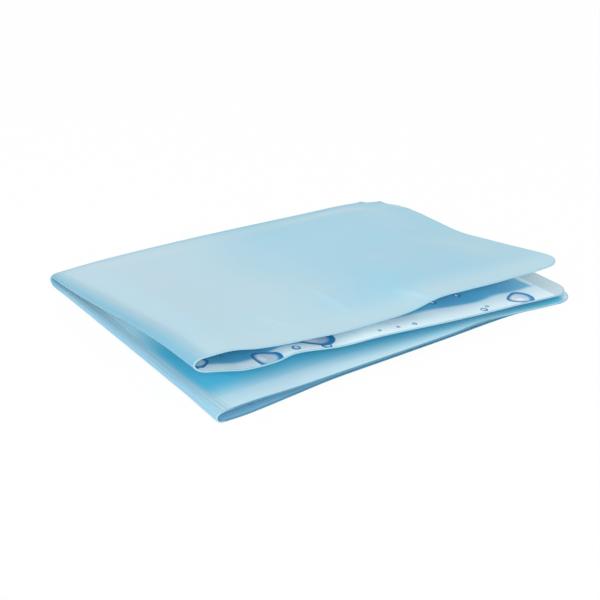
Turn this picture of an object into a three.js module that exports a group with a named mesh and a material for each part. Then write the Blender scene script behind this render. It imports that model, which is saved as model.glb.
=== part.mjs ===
import * as THREE from 'three';

// Cooling gel mat, folded in quarters: the side halves are brought together with
// the printed face inside, and the result is folded once more over the back.
// Lengths are in millimetres, +Z up, +X to the free side edges, +Y to the back fold.
//
// A point of the flat mat has two places, across and along, counted from the two
// creases. Across is positive on the outer sheet (bottom and top quarters) and
// negative on the inner sheet. Along is negative on the lower pair of quarters
// and positive on the upper pair. foldedPoint() says where that point lies.

// The mat laid flat
const matWidth = 400;
const matDepth = 290;
const creaseOffset = 3;
const cornerRadius = 12;
const weldBorder = 10;
const creaseStripWidth = 10;
const partingGap = 0.3;

// The laminate
const filmThickness = 0.3;
const filmGap = 0.3;
const gelThickness = 1.8;
const creaseRamp = 14;
const borderRamp = 12;
const gelInsetFromCrease = 9;
const gelInsetFromBorder = 8;

// How the quarters lie on each other
const borderRestHeight = 0.75;
const edgePitch = 2.65;
const layerClearance = 0.35;
const backWrapDepth = 4;
const innerWrapDepth = 3.5;
const wrapClearance = 0.35;
const sideWrapDepth = 3.6;
const frontLoopExtraDepth = 2.4;
const frontLoopOverhang = 2;
const backFlattening = 35;

// How far the front parts of the quarters lift and are set back
const topLift = 14;
const upperInnerLift = 10.8;
const lowerInnerLift = 1.45;
const lowerInnerLiftReach = 45;
const bottomSetback = 6.3;
const lowerInnerSetback = 2.2;
const upperInnerSetback = 11.2;
const topSetback = 12.7;
const slopeStep = 0.05;

const halfWidth = matWidth / 2;
const lowerReach = matDepth / 2 + creaseOffset;
const upperReach = matDepth / 2 - creaseOffset;
const stripHalf = creaseStripWidth / 2;
const weldThickness = 2 * filmThickness + filmGap;
const cellThickness = 2 * filmThickness + 2 * filmGap + gelThickness;
const cellRestHeight = cellThickness / 2;
const cellPitch = cellThickness + layerClearance;
const backApex = lowerReach + weldThickness;
const innerApex = backApex - weldThickness - wrapClearance;
const sideApex = weldThickness / 2;

// Shares of a lift or setback, from the side crease to the free side edge
const topLiftShares = [[0, 1], [0.06, 0.97], [0.12, 0.79], [0.18, 0.66], [0.26, 0.55], [0.34, 0.44],
  [0.44, 0.4], [0.53, 0.41], [0.62, 0.6], [0.7, 0.57], [0.8, 0.53], [0.9, 0.6], [1, 0.76]];
const upperInnerLiftShares = [[0, 1], [0.04, 0.82], [0.09, 0.59], [0.165, 0.51], [0.215, 0.63],
  [0.32, 0.425], [0.43, 0.41], [0.62, 0.228], [0.8, 0.099], [0.92, 0.015], [1, 0]];
const lowerInnerLiftShares = [[0, 1.2], [0.08, 1.3], [0.18, 1.1], [0.3, 0.9], [0.42, 0.75],
  [0.52, 0.9], [0.62, 1], [0.72, 0.85], [0.84, 0.15], [0.92, -0.25], [1, 0.05]];
const bottomSetbackShares = [[0, -0.2], [0.06, -0.18], [0.16, 0.1], [0.28, 0.6], [0.42, 0.75],
  [0.6, 0.83], [0.8, 1], [0.9, 0.7], [1, 0.1]];
const lowerInnerSetbackShares = [[0, -0.4], [0.1, 0], [0.6, 0.1], [0.72, 0.9], [0.86, 0.4], [1, -0.2]];
const upperInnerSetbackShares = [[0, 1], [0.2, 1], [0.4, 0.7], [0.62, 0.43], [0.8, 0.26], [1, 0.22]];
const topSetbackShares = [[0, 1], [0.7, 1], [1, 0.8]];

// Shares of a lift, from the back fold to the front edge
const crestAtSideShares = [[0, 0], [0.2, 0.21], [0.42, 0.5], [0.63, 0.74], [0.81, 0.94], [1, 1]];
const crestAtFreeEdgeShares = [[0, 0], [0.42, 0], [0.5, 0.07], [0.59, 0.25], [0.72, 0.52],
  [0.84, 0.78], [0.92, 0.94], [1, 1]];
const slackAtSideShares = [[0, 0], [0.2, 0.16], [0.45, 0.52], [0.6, 0.79], [0.8, 0.95], [1, 1]];

// Shares of the edge pitch that the back wrap and the free side edge keep
const backPitchShares = [[0, 0.9], [0.12, 1.02], [0.32, 1.02], [0.5, 0.94], [0.77, 0.76],
  [0.91, 0.71], [1, 0.6]];
const freeEdgePitchShare = 0.78;
const freeEdgeStartShare = 0.8;

// Share of its handles' length that a cubic bend reaches
const bendReachShare = 0.75;

const layers = {
  bottom: { level: 0, outer: true, setback: bottomSetback, setbackShares: bottomSetbackShares },
  lowerInner: {
    level: 1, outer: false, setback: lowerInnerSetback, setbackShares: lowerInnerSetbackShares,
  },
  upperInner: {
    level: 2, outer: false, setback: upperInnerSetback, setbackShares: upperInnerSetbackShares,
  },
  top: { level: 3, outer: true, setback: topSetback, setbackShares: topSetbackShares },
};

const finishes = {
  backFilm: { color: 0xb4d3e2, roughness: 0.45 },
  printedFilm: { color: 0xc6d9ec, roughness: 0.35 },
  gel: { color: 0x8fc7e4, roughness: 0.3 },
  strip: { color: 0x9dc9dc, roughness: 0.45 },
};

// Facets across a gel pad, along a gel pad and around a crease
const acrossCount = 10;
const alongCount = 7;
const bendCount = 6;

// Value of a table at a share: a cubic through its points, level beyond its ends
function readShares(table, share) {
  const last = table.length - 1;
  const at = THREE.MathUtils.clamp(share, table[0][0], table[last][0]);
  let i = 0;
  while (i < last - 1 && at > table[i + 1][0]) i += 1;
  const slope = (k) => {
    const before = table[Math.max(k - 1, 0)];
    const after = table[Math.min(k + 1, last)];
    return (after[1] - before[1]) / (after[0] - before[0]);
  };
  const span = table[i + 1][0] - table[i][0];
  const t = (at - table[i][0]) / span;
  const startWeight = (1 + 2 * t) * (1 - t) ** 2;
  const startSlopeWeight = t * (1 - t) ** 2;
  const endSlopeWeight = t * t * (t - 1);
  return startWeight * table[i][1] + (1 - startWeight) * table[i + 1][1]
    + span * (startSlopeWeight * slope(i) + endSlopeWeight * slope(i + 1));
}

function easeIn(value) {
  const t = THREE.MathUtils.clamp(value, 0, 1);
  return t * t * (3 - 2 * t);
}

function reachOf(along) {
  return along < 0 ? lowerReach : upperReach;
}

// How full the mat is: 0 on welds and creases, 1 over the gel
function fill(across, along) {
  const p = Math.abs(across);
  const q = Math.abs(along);
  return easeIn((p - stripHalf) / creaseRamp) * easeIn((halfWidth - weldBorder - p) / borderRamp)
    * easeIn((q - stripHalf) / creaseRamp) * easeIn((reachOf(along) - weldBorder - q) / borderRamp);
}

// Height that the front part of a quarter gains over the even stack
function liftOf(layer, a, u) {
  const crest = readShares(layer.level === 3 ? crestAtSideShares : slackAtSideShares, u);
  const fadedCrest = THREE.MathUtils.lerp(crest, readShares(crestAtFreeEdgeShares, u), easeIn(a));
  if (layer.level === 3) return topLift * readShares(topLiftShares, a) * fadedCrest;
  if (layer.level === 2) return upperInnerLift * readShares(upperInnerLiftShares, a) * fadedCrest;
  if (layer.level === 1) {
    const fromFront = (1 - u) * lowerReach / lowerInnerLiftReach;
    return lowerInnerLift * readShares(lowerInnerLiftShares, a) * (1 - easeIn(fromFront));
  }
  return 0;
}

// Middle of a quarter at shares a (side crease to free edge) and u (back to front)
function layerPoint(layer, a, u) {
  const upper = layer.level > 1;
  const reach = upper ? upperReach : lowerReach;
  const wrapDepth = layer.outer ? backWrapDepth : innerWrapDepth;
  const apex = layer.outer ? backApex : innerApex;
  const sideEdge = sideApex + sideWrapDepth + (upper ? (frontLoopExtraDepth - frontLoopOverhang) * u : 0);
  const x = THREE.MathUtils.lerp(sideEdge, halfWidth, a);
  const y = THREE.MathUtils.lerp(apex - wrapDepth, layer.setback * readShares(layer.setbackShares, a), u);
  const across = THREE.MathUtils.lerp(stripHalf, halfWidth, a);
  const along = THREE.MathUtils.lerp(stripHalf, reach, u) * (upper ? 1 : -1);
  const full = fill(across, along);
  const nearBack = 1 - easeIn(u * reach / backFlattening);
  const nearFreeEdge = easeIn((a - freeEdgeStartShare) / (1 - freeEdgeStartShare));
  const edge = edgePitch * THREE.MathUtils.lerp(1, readShares(backPitchShares, a), nearBack)
    * THREE.MathUtils.lerp(1, freeEdgePitchShare, nearFreeEdge);
  const pitch = THREE.MathUtils.lerp(edge, cellPitch, full);
  const rest = THREE.MathUtils.lerp(borderRestHeight, cellRestHeight, full);
  return new THREE.Vector3(x, y, rest + layer.level * pitch + liftOf(layer, a, u));
}

// Round bend that leaves both edges in line with their sheets and reaches depth past them
function bend(startEdge, startInside, endEdge, endInside, depth, t) {
  const handle = depth / bendReachShare;
  const startHandle = startEdge.clone().sub(startInside).setLength(handle).add(startEdge);
  const endHandle = endEdge.clone().sub(endInside).setLength(handle).add(endEdge);
  return new THREE.CubicBezierCurve3(startEdge, startHandle, endHandle, endEdge).getPoint(t);
}

// A point of the outer or inner sheet, at share a across and a length along
function sheetPoint(outer, a, along) {
  const lower = outer ? layers.bottom : layers.lowerInner;
  const upper = outer ? layers.top : layers.upperInner;
  if (along <= -stripHalf) return layerPoint(lower, a, (-along - stripHalf) / (lowerReach - stripHalf));
  if (along >= stripHalf) return layerPoint(upper, a, (along - stripHalf) / (upperReach - stripHalf));
  const step = slopeStep / matDepth;
  const depth = outer ? backWrapDepth : innerWrapDepth;
  return bend(layerPoint(lower, a, 0), layerPoint(lower, a, step), layerPoint(upper, a, 0),
    layerPoint(upper, a, step), depth, (along + stripHalf) / creaseStripWidth);
}

function foldedPoint(across, along) {
  const a = (Math.abs(across) - stripHalf) / (halfWidth - stripHalf);
  if (a >= 0) return sheetPoint(across > 0, a, along);
  const step = slopeStep / matWidth;
  const loopDepth = sideWrapDepth + frontLoopExtraDepth * Math.max(along, 0) / upperReach;
  return bend(sheetPoint(true, 0, along), sheetPoint(true, step, along), sheetPoint(false, 0, along),
    sheetPoint(false, step, along), loopDepth, (stripHalf - across) / creaseStripWidth);
}

// Direction in which the printed face looks
function printedNormal(across, along) {
  const before = [Math.max(across - slopeStep, -halfWidth), Math.max(along - slopeStep, -lowerReach)];
  const after = [Math.min(across + slopeStep, halfWidth), Math.min(along + slopeStep, upperReach)];
  const alongAcross = foldedPoint(after[0], along).sub(foldedPoint(before[0], along));
  const alongDepth = foldedPoint(across, after[1]).sub(foldedPoint(across, before[1]));
  return alongAcross.cross(alongDepth).normalize();
}

// Rounds the four outer corners of the flat mat
function roundCorner(across, along) {
  const reach = reachOf(along);
  const dx = (Math.abs(across) - halfWidth + cornerRadius) / cornerRadius;
  const dy = (Math.abs(along) - reach + cornerRadius) / cornerRadius;
  if (dx <= 0 || dy <= 0) return [across, along];
  const p = halfWidth - cornerRadius + cornerRadius * dx * Math.sqrt(1 - dy * dy / 2);
  const q = reach - cornerRadius + cornerRadius * dy * Math.sqrt(1 - dx * dx / 2);
  return [Math.sign(across) * p, Math.sign(along) * q];
}

// Closed solid over a grid of the flat mat, between two offsets from its middle
function patch(acrossStops, alongStops, backOffset, printOffset) {
  const positions = [];
  const indices = [];
  const rows = alongStops.length;
  const vertex = (face, i, j) => (face * acrossStops.length + i) * rows + j;
  // Quarters that lie on each other split their facets along the same diagonal
  const splitOther = acrossStops[0] * alongStops[0] > 0;
  const quad = (a, b, c, d) => indices.push(...(splitOther ? [a, b, d, b, c, d] : [a, b, c, a, c, d]));
  for (const offset of [backOffset, printOffset]) {
    for (const acrossStop of acrossStops) {
      for (const alongStop of alongStops) {
        const [across, along] = roundCorner(acrossStop, alongStop);
        const normal = printedNormal(across, along);
        const point = foldedPoint(across, along).addScaledVector(normal, offset(across, along));
        positions.push(point.x, point.y, point.z);
      }
    }
  }
  const lastI = acrossStops.length - 1;
  const lastJ = rows - 1;
  for (let i = 0; i < lastI; i += 1) {
    for (let j = 0; j < lastJ; j += 1) {
      quad(vertex(1, i, j), vertex(1, i + 1, j), vertex(1, i + 1, j + 1), vertex(1, i, j + 1));
      quad(vertex(0, i, j), vertex(0, i, j + 1), vertex(0, i + 1, j + 1), vertex(0, i + 1, j));
    }
    quad(vertex(0, i, 0), vertex(0, i + 1, 0), vertex(1, i + 1, 0), vertex(1, i, 0));
    quad(vertex(0, i + 1, lastJ), vertex(0, i, lastJ), vertex(1, i, lastJ), vertex(1, i + 1, lastJ));
  }
  for (let j = 0; j < lastJ; j += 1) {
    quad(vertex(0, 0, j + 1), vertex(0, 0, j), vertex(1, 0, j), vertex(1, 0, j + 1));
    quad(vertex(0, lastI, j), vertex(0, lastI, j + 1), vertex(1, lastI, j + 1), vertex(1, lastI, j));
  }
  const geometry = new THREE.BufferGeometry();
  geometry.setAttribute('position', new THREE.Float32BufferAttribute(positions, 3));
  geometry.setIndex(indices);
  geometry.computeVertexNormals();
  return geometry;
}

// Even stops from one length to another
function stops(from, to, count) {
  return Array.from({ length: count + 1 }, (_, i) => THREE.MathUtils.lerp(from, to, i / count));
}

// Stops over a gel pad, which lies clear of the crease and of the welded border
function gelStops(reach, count) {
  return stops(stripHalf + gelInsetFromCrease, reach - weldBorder - gelInsetFromBorder, count);
}

// Stops from a crease out to a free edge, with the gel pad's own stops among them
function quarterStops(reach, count) {
  return [stripHalf + partingGap / 2, ...gelStops(reach, count), reach - weldBorder,
    reach - cornerRadius / 3, reach];
}

function negated(values) {
  return values.map((value) => -value).reverse();
}

function filmOffset(across, along) {
  return THREE.MathUtils.lerp(filmGap / 2, cellRestHeight - filmThickness, fill(across, along));
}

function gelOffset(across, along) {
  return filmOffset(across, along) - filmGap;
}

function addPiece(parent, name, geometry, finish) {
  const material = new THREE.MeshStandardMaterial({ ...finish, metalness: 0 });
  const mesh = new THREE.Mesh(geometry, material);
  mesh.name = name;
  parent.add(mesh);
}

// One quarter: plain film, printed film and the gel pad between them
function addQuarter(parent, name, acrossSign, alongSign) {
  const reach = alongSign < 0 ? lowerReach : upperReach;
  const side = (values, sign) => (sign > 0 ? values : negated(values));
  const acrossStops = side(quarterStops(halfWidth, acrossCount), acrossSign);
  const alongStops = side(quarterStops(reach, alongCount), alongSign);
  const gelAcross = side(gelStops(halfWidth, acrossCount), acrossSign);
  const gelAlong = side(gelStops(reach, alongCount), alongSign);
  const outer = (p, q) => filmOffset(p, q) + filmThickness;
  const back = patch(acrossStops, alongStops, (p, q) => -outer(p, q), (p, q) => -filmOffset(p, q));
  const printed = patch(acrossStops, alongStops, filmOffset, outer);
  const gel = patch(gelAcross, gelAlong, (p, q) => -gelOffset(p, q), gelOffset);
  addPiece(parent, `${name}_back_film`, back, finishes.backFilm);
  addPiece(parent, `${name}_printed_film`, printed, finishes.printedFilm);
  addPiece(parent, `${name}_gel_pad`, gel, finishes.gel);
}

// A welded strip at a crease, where both films are fused into one
function addStrip(parent, name, acrossStops, alongStops) {
  const half = weldThickness / 2;
  addPiece(parent, name, patch(acrossStops, alongStops, () => -half, () => half), finishes.strip);
}

function buildMat() {
  const mat = new THREE.Group();
  addQuarter(mat, 'bottom', 1, -1);
  addQuarter(mat, 'lower_inner', -1, -1);
  addQuarter(mat, 'upper_inner', -1, 1);
  addQuarter(mat, 'top', 1, 1);
  const edge = stripHalf - partingGap / 2;
  const aroundCrease = stops(-edge, edge, bendCount);
  const depthStops = (reach) => [partingGap / 2, edge / 2, edge, ...quarterStops(reach, alongCount)];
  const widthStops = quarterStops(halfWidth, acrossCount);
  addStrip(mat, 'lower_side_strip', aroundCrease, negated(depthStops(lowerReach)));
  addStrip(mat, 'upper_side_strip', aroundCrease, depthStops(upperReach));
  addStrip(mat, 'inner_back_strip', negated(widthStops), aroundCrease);
  addStrip(mat, 'outer_back_strip_bottom', widthStops, stops(-edge, -partingGap / 2, bendCount / 2));
  addStrip(mat, 'outer_back_strip_top', widthStops, stops(partingGap / 2, edge, bendCount / 2));
  const box = new THREE.Box3().setFromObject(mat, true);
  const centre = box.getCenter(new THREE.Vector3());
  mat.position.set(-centre.x, -centre.y, -box.min.z);
  return mat;
}

export default buildMat();
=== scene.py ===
"""Dresses a cooling gel mat that lies folded in quarters, print inside.

The mat is two welded films with a gel pad in each of its four cells. Its shape comes
from one map, FoldMap, which takes a place on the flat mat to its place on the folded one.
"""

import logging
import math
from dataclasses import dataclass
from enum import Enum
from typing import Callable

import bmesh
import bpy
import numpy as np
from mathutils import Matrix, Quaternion, Vector


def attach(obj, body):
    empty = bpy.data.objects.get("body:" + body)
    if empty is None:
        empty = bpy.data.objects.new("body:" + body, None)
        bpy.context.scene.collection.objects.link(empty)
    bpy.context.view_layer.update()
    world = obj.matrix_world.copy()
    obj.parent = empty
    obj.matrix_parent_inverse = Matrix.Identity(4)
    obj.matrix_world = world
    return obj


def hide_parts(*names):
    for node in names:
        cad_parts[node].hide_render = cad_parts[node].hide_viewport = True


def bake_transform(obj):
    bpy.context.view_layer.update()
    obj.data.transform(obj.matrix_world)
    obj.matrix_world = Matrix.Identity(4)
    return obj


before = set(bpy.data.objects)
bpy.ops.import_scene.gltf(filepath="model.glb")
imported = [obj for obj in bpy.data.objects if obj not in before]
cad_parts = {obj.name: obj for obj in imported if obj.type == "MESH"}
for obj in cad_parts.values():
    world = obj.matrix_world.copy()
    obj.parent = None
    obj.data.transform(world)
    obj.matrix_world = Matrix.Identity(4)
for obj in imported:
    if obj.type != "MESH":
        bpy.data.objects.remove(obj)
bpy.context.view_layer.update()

log = logging.getLogger("gel_mat")

Offset = Callable[[np.ndarray, np.ndarray], np.ndarray]
Number = float | np.ndarray
Shares = tuple[tuple[float, float], ...]
Socket = bpy.types.NodeSocket
Values = tuple[tuple[str, float], ...]

WHITE = "#FFFFFF"
# Each piece carries its places on the flat mat as a UV map, and its distance from the mat's free
# edge as an attribute.
FLAT_UV = "flat_mat"
BORDER = "border"
# Spacing of a grid's lines near its edges and in its middle, in metres.
FINE_SPACING = 0.0005
COARSE_SPACING = 0.0013
# A flat grid is made one wide before its vertices take their places.
GRID_HALF = 0.5
EDGE_TOLERANCE = 1e-6


def linear(hex_colour: str) -> tuple[float, float, float, float]:
    """Turns an sRGB hex colour to the linear one that Blender's sockets hold.

    Args:
        hex_colour: The colour as #RRGGBB.

    Returns:
        Red, green, blue and an alpha of 1.
    """
    values = [int(hex_colour[i:i + 2], 16) / 255 for i in (1, 3, 5)]
    return (*(v / 12.92 if v <= 0.04045 else ((v + 0.055) / 1.055) ** 2.4 for v in values), 1.0)


def ease(value: Number) -> Number:
    """Smooth step from 0 to 1."""
    t = np.clip(value, 0.0, 1.0)
    return t * t * (3 - 2 * t)


def mix(start: Number, end: Number, share: Number) -> Number:
    """Goes from start to end by a share."""
    return start + (end - start) * share


def unit(vectors: np.ndarray) -> np.ndarray:
    """Rows of vectors, each made one long."""
    return vectors / np.linalg.norm(vectors, axis=1, keepdims=True)


def read_shares(table: Shares, share: np.ndarray) -> np.ndarray:
    """Reads a table as a smooth curve through its points.

    Args:
        table: Pairs of a place and a value, both shares.
        share: The places to read.

    Returns:
        The value at each place, level beyond the table's ends.
    """
    x, y = np.array(table).T
    at = np.clip(share, x[0], x[-1])
    i = np.clip(np.searchsorted(x, at) - 1, 0, len(x) - 2)
    rows = np.arange(len(x))
    before, after = np.maximum(rows - 1, 0), np.minimum(rows + 1, len(x) - 1)
    slope = (y[after] - y[before]) / (x[after] - x[before])
    span = x[i + 1] - x[i]
    t = (at - x[i]) / span
    start = (1 + 2 * t) * (1 - t) ** 2
    bends = t * (1 - t) ** 2 * slope[i] + t * t * (t - 1) * slope[i + 1]
    return start * y[i] + (1 - start) * y[i + 1] + span * bends


def stops(start: float, end: float, margin: float) -> np.ndarray:
    """Places from start to end, close together near both ends.

    Args:
        start: First place.
        end: Last place.
        margin: How far the fine spacing reaches in from each end.

    Returns:
        The places in order.
    """
    edge = np.linspace(0, margin, round(margin / FINE_SPACING) + 1)
    run = end - start - 2 * margin
    middle = np.linspace(start + margin, end - margin, round(run / COARSE_SPACING) + 1)
    return np.concatenate([start + edge[:-1], middle, end - edge[::-1][1:]])


class Side(Enum):
    """The two films of the mat."""

    BACK = "back"
    PRINTED = "printed"


@dataclass(frozen=True)
class Layer:
    """One quarter's place in the folded stack, counted from the bottom.

    Its front edge stands back by the setback, times a share that is read by the share from the
    side crease to the free side edge.
    """

    level: int
    setback: float
    setback_shares: Shares

    @property
    def upper(self) -> bool:
        """Whether the quarter is above the back fold."""
        return self.level > 1

    @property
    def outer(self) -> bool:
        """Whether the quarter is on the outer sheet."""
        return self.level in (0, 3)


@dataclass(frozen=True)
class MatSizes:
    """Lengths of the flat mat and of its laminate, in metres."""

    width: float = 0.400
    depth: float = 0.290
    crease_offset: float = 0.003
    corner_radius: float = 0.009
    weld_border: float = 0.010
    strip_width: float = 0.010
    weld_thickness: float = 0.0009
    cell_thickness: float = 0.0025
    pressed_thickness: float = 0.00064
    film_thickness: float = 0.0003
    rim_share: float = 0.6
    crease_ramp: float = 0.020
    border_ramp: float = 0.030
    gel_clearance: float = 0.0002
    gel_inset: float = 0.010

    @property
    def half_width(self) -> float:
        """From the side crease to a free side edge."""
        return self.width / 2

    @property
    def strip_half(self) -> float:
        """From a crease to the edge of its strip."""
        return self.strip_width / 2

    @property
    def rim_radius(self) -> float:
        """Radius of a film's cut edges."""
        return self.film_thickness * self.rim_share

    @property
    def lower_reach(self) -> float:
        """From the back crease to the front edge of the lower quarters."""
        return self.depth / 2 + self.crease_offset

    @property
    def upper_reach(self) -> float:
        """From the back crease to the front edge of the upper quarters."""
        return self.depth / 2 - self.crease_offset

    def reach(self, along: np.ndarray) -> np.ndarray:
        """Distance from the back crease to the front edge on that side of it."""
        return np.where(along < 0, self.lower_reach, self.upper_reach)

    def fill(self, across: np.ndarray, along: np.ndarray) -> np.ndarray:
        """How full the mat is.

        Args:
            across: Places across the mat.
            along: Places along it.

        Returns:
            0 on welds and creases, 1 over the gel.
        """
        p, q = np.abs(across), np.abs(along)
        return (
            ease((p - self.strip_half) / self.crease_ramp)
            * ease((self.half_width - self.weld_border - p) / self.border_ramp)
            * ease((q - self.strip_half) / self.crease_ramp)
            * ease((self.reach(along) - self.weld_border - q) / self.border_ramp)
        )

    def border(self, across: np.ndarray, along: np.ndarray) -> np.ndarray:
        """How far places on the mat are from its free edge.

        Args:
            across: Places across the mat.
            along: Places along it.

        Returns:
            The distances.
        """
        r = self.corner_radius
        dx, dy = self.half_width - np.abs(across), self.reach(along) - np.abs(along)
        corner = r - np.hypot(np.maximum(r - dx, 0), np.maximum(r - dy, 0))
        return np.where((dx < r) & (dy < r), corner, np.minimum(dx, dy))

    def rounded(self, across: np.ndarray, along: np.ndarray) -> tuple[np.ndarray, np.ndarray]:
        """Draws the outer corners of the flat mat in to their radius.

        Args:
            across: Places across the mat, on a mat with square corners.
            along: Places along it.

        Returns:
            The same places on the mat with round corners.
        """
        r, reach = self.corner_radius, self.reach(along)
        dx = (np.abs(across) - self.half_width + r) / r
        dy = (np.abs(along) - reach + r) / r
        corner = (dx > 0) & (dy > 0)
        p = self.half_width - r + r * dx * np.sqrt(np.maximum(1 - dy * dy / 2, 0))
        q = reach - r + r * dy * np.sqrt(np.maximum(1 - dx * dx / 2, 0))
        return np.where(corner, np.sign(across) * p, across), np.where(corner, np.sign(along) * q, along)


@dataclass(frozen=True)
class Ridge:
    """A soft wrinkle of a film, as a smooth rounded ridge between two places of the flat mat."""

    start: tuple[float, float]
    end: tuple[float, float]
    height: float
    width: float
    fading_share: float = 0.35

    def height_at(self, across: np.ndarray, along: np.ndarray) -> np.ndarray:
        """Height of the ridge, which fades out towards its ends.

        Args:
            across: Places across the mat.
            along: Places along it.

        Returns:
            The heights.
        """
        start, end = np.array(self.start), np.array(self.end)
        run = end - start
        place = np.stack([across, along], axis=1) - start
        share = place @ run / (run @ run)
        aside = np.abs(place @ np.array([-run[1], run[0]])) / np.linalg.norm(run)
        ends = ease(share / self.fading_share) * ease((1 - share) / self.fading_share)
        return self.height * ends * np.exp(-((aside / self.width) ** 2))


@dataclass(frozen=True)
class FoldMap:
    """Takes places on the flat mat to places on the folded mat, in metres.

    Across is positive on the outer sheet, along is positive on the upper pair of quarters. A wrap
    is how far a fold bulges past the edges that it joins. A lift is how far a front edge rises over
    the even stack. Shares of lift, setback and back pitch are read by the share from the side crease
    to the free side edge, and the others by the share from the back fold to the front edge.
    """

    sizes: MatSizes
    origin: tuple[float, float, float] = (-0.099065, -0.074041, 0.0)
    border_rest: float = 0.00075
    edge_pitch: float = 0.00265
    layer_clearance: float = 0.00035
    back_wrap: float = 0.004
    inner_wrap: float = 0.0035
    wrap_clearance: float = 0.00035
    side_wrap: float = 0.0036
    lower_wrap_shares: Shares = ((0, 0.8), (0.08, 0.7), (0.8, 0.7), (0.93, 0.92), (1, 1))
    upper_wrap_shares: Shares = ((0, 0.8), (0.2, 1), (1, 1))
    back_corner_draw: float = 0.0028
    back_corner_span: tuple[float, float] = (0.022, 0.016)
    front_loop_extra: float = 0.0024
    front_loop_overhang: float = 0.002
    back_flattening: float = 0.035
    top_lift: float = 0.014
    upper_inner_lift: float = 0.0108
    lower_inner_lift: float = 0.00145
    lower_inner_reach: float = 0.045
    slope_step: float = 0.00005
    top_lift_shares: Shares = (
        (0, 1), (0.06, 0.97), (0.12, 0.79), (0.18, 0.66), (0.26, 0.55), (0.34, 0.44), (0.44, 0.4),
        (0.53, 0.41), (0.62, 0.6), (0.7, 0.57), (0.8, 0.53), (0.9, 0.6), (1, 0.76))
    upper_inner_lift_shares: Shares = (
        (0, 1), (0.04, 0.82), (0.09, 0.59), (0.165, 0.51), (0.215, 0.63), (0.32, 0.425),
        (0.43, 0.41), (0.62, 0.228), (0.8, 0.099), (0.92, 0.015), (1, 0))
    lower_inner_lift_shares: Shares = (
        (0, 1.1), (0.08, 0.85), (0.18, 0.5), (0.3, 0.6), (0.42, 0.75), (0.52, 0.9), (0.62, 1),
        (0.72, 0.85), (0.84, 0.15), (0.92, -0.25), (1, 0.05))
    crest_at_side_shares: Shares = ((0, 0), (0.2, 0.21), (0.42, 0.5), (0.63, 0.74), (0.81, 0.94), (1, 1))
    crest_at_free_edge_shares: Shares = (
        (0, 0), (0.42, 0), (0.5, 0.07), (0.59, 0.25), (0.72, 0.52), (0.84, 0.78), (0.92, 0.94), (1, 1))
    slack_at_side_shares: Shares = ((0, 0), (0.2, 0.16), (0.45, 0.52), (0.6, 0.79), (0.8, 0.95), (1, 1))
    back_pitch_shares: Shares = (
        (0, 0.9), (0.12, 1.02), (0.32, 1.02), (0.5, 0.94), (0.77, 0.76), (0.91, 0.71), (1, 0.6))
    free_edge_pitch_share: float = 0.78
    free_edge_start_share: float = 0.8
    bend_reach_share: float = 0.75
    bottom: Layer = Layer(0, 0.0063, (
        (0, -0.2), (0.06, -0.18), (0.16, 0.1), (0.28, 0.45), (0.42, 0.57), (0.6, 0.71), (0.8, 0.9),
        (0.9, 0.7), (1, 0.1)))
    lower_inner: Layer = Layer(1, 0.0022, (
        (0, -0.4), (0.1, 0), (0.6, 0.1), (0.72, 0.9), (0.86, 0.4), (1, -0.2)))
    upper_inner: Layer = Layer(2, 0.0112, (
        (0, 1), (0.2, 1), (0.4, 0.7), (0.62, 0.43), (0.8, 0.26), (1, 0.22)))
    top: Layer = Layer(3, 0.0127, ((0, 1), (0.7, 1), (1, 0.8)))

    def lift(self, layer: Layer, a: np.ndarray, u: np.ndarray) -> np.ndarray:
        """Height that the front part of a quarter gains over the even stack.

        Args:
            layer: The quarter.
            a: Share from the side crease to the free side edge.
            u: Share from the back fold to the front edge.

        Returns:
            The heights.
        """
        crest = read_shares(self.crest_at_side_shares if layer.level == 3 else self.slack_at_side_shares, u)
        faded = mix(crest, read_shares(self.crest_at_free_edge_shares, u), ease(a))
        if layer.level == 3:
            return self.top_lift * read_shares(self.top_lift_shares, a) * faded
        if layer.level == 2:
            return self.upper_inner_lift * read_shares(self.upper_inner_lift_shares, a) * faded
        if layer.level == 1:
            near_front = 1 - ease((1 - u) * self.sizes.lower_reach / self.lower_inner_reach)
            return self.lower_inner_lift * read_shares(self.lower_inner_lift_shares, a) * near_front
        return np.zeros_like(a)

    def layer_point(self, layer: Layer, a: np.ndarray, u: np.ndarray) -> np.ndarray:
        """Middle of a quarter's laminate.

        Args:
            layer: The quarter.
            a: Share from the side crease to the free side edge.
            u: Share from the back fold to the front edge.

        Returns:
            The places.
        """
        s = self.sizes
        reach = s.upper_reach if layer.upper else s.lower_reach
        apex = s.lower_reach + s.weld_thickness
        edge_y = apex - self.back_wrap
        if not layer.outer:
            edge_y = apex - s.weld_thickness - self.wrap_clearance - self.inner_wrap
        overhang = (self.front_loop_extra - self.front_loop_overhang) * u if layer.upper else 0.0
        x = mix(s.weld_thickness / 2 + self.side_wrap + overhang, s.half_width, a)
        y = mix(edge_y, layer.setback * read_shares(layer.setback_shares, a), u)
        corner = ease(1 - (1 - a) * s.half_width / self.back_corner_span[0])
        corner = corner * (1 - ease(u * reach / self.back_corner_span[1])) * self.back_corner_draw
        x, y = x - corner, y - corner
        across = mix(s.strip_half, s.half_width, a)
        along = mix(s.strip_half, reach, u) * (1 if layer.upper else -1)
        full = s.fill(across, along)
        near_back = 1 - ease(u * reach / self.back_flattening)
        near_free = ease((a - self.free_edge_start_share) / (1 - self.free_edge_start_share))
        edge = self.edge_pitch * mix(1, read_shares(self.back_pitch_shares, a), near_back)
        edge = edge * mix(1, self.free_edge_pitch_share, near_free)
        pitch = mix(edge, s.cell_thickness + self.layer_clearance, full)
        rest = mix(self.border_rest, s.cell_thickness / 2, full)
        return np.stack([x, y, rest + layer.level * pitch + self.lift(layer, a, u)], axis=1)

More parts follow.
